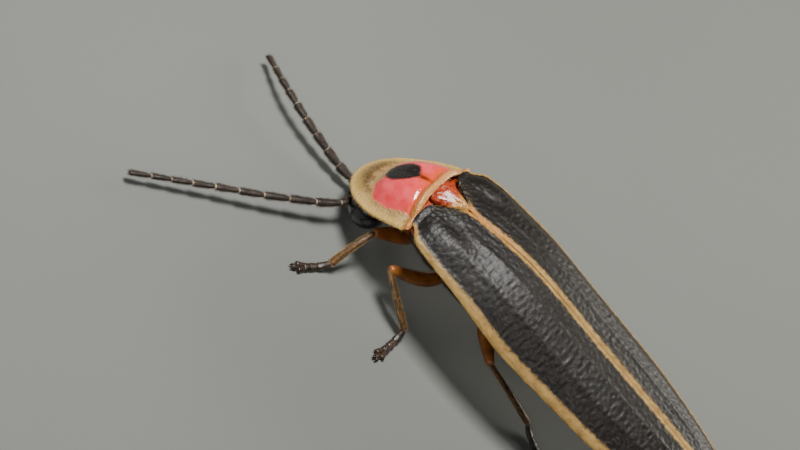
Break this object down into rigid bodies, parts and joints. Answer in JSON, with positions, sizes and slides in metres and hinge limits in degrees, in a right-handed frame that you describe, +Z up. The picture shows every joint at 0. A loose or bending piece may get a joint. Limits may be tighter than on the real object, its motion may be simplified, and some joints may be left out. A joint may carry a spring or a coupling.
{
  "type": "firefly",
  "caption": "A firefly standing with its feelers spread: a pink shield with a black spot over the head, dark wing cases with pale edges, and pale lanterns under the tail.",
  "frame": {"origin": "bottom centre of the bounding box, on the floor that the feet stand on", "axes": "+X toward the animal's left, +Y toward its tail with the head toward -Y, +Z up"},
  "size_m": [0.0094, 0.018, 0.0035],
  "materials": {
    "wing_case": "finely granulate satin, downy, with pale edges",
    "shield": "satin, pink with a black spot and straw-coloured margins",
    "red_plate": "gloss",
    "orange_body": "satin",
    "dark_body": "satin with fine down",
    "lantern": "waxy satin",
    "eye": "glossy, finely faceted",
    "orange_limb": "satin with short hairs",
    "brown_limb": "satin with short hairs",
    "black_limb": "satin with short hairs"
  },
  "bodies": {
    "root": {"elytron_left": "wing_case", "elytron_right": "wing_case", "pronotum": "shield", "scutellum": "red_plate", "prothorax": "orange_body", "mesothorax": "dark_body", "metathorax": "dark_body", "abdomen_2": "dark_body", "abdomen_3": "dark_body", "abdomen_4": "dark_body", "abdomen_5": "dark_body", "lantern_6": "lantern", "lantern_7": "lantern", "abdomen_tip": "orange_body", "head": "dark_body", "eye_left": "eye", "eye_right": "eye", "mandible_left": "brown_limb", "mandible_right": "brown_limb", "palp_left": "brown_limb", "palp_right": "brown_limb", "antenna_base_left": "black_limb", "antenna_base_right": "black_limb", "antenna_left": "black_limb", "antenna_right": "black_limb", "coxa_front_left": "orange_limb", "coxa_mid_left": "orange_limb", "coxa_hind_left": "orange_limb", "coxa_front_right": "orange_limb", "coxa_mid_right": "orange_limb", "coxa_hind_right": "orange_limb", "femur_front_left": "orange_limb", "femur_mid_left": "orange_limb", "femur_hind_left": "orange_limb", "femur_front_right": "orange_limb", "femur_mid_right": "orange_limb", "femur_hind_right": "orange_limb", "tibia_front_left": "brown_limb", "tibia_mid_left": "brown_limb", "tibia_hind_left": "brown_limb", "tibia_front_right": "brown_limb", "tibia_mid_right": "brown_limb", "tibia_hind_right": "brown_limb", "tarsus_front_left": "black_limb", "tarsus_mid_left": "black_limb", "tarsus_hind_left": "black_limb", "tarsus_front_right": "black_limb", "tarsus_mid_right": "black_limb", "tarsus_hind_right": "black_limb"}
  },
  "joints": []
}
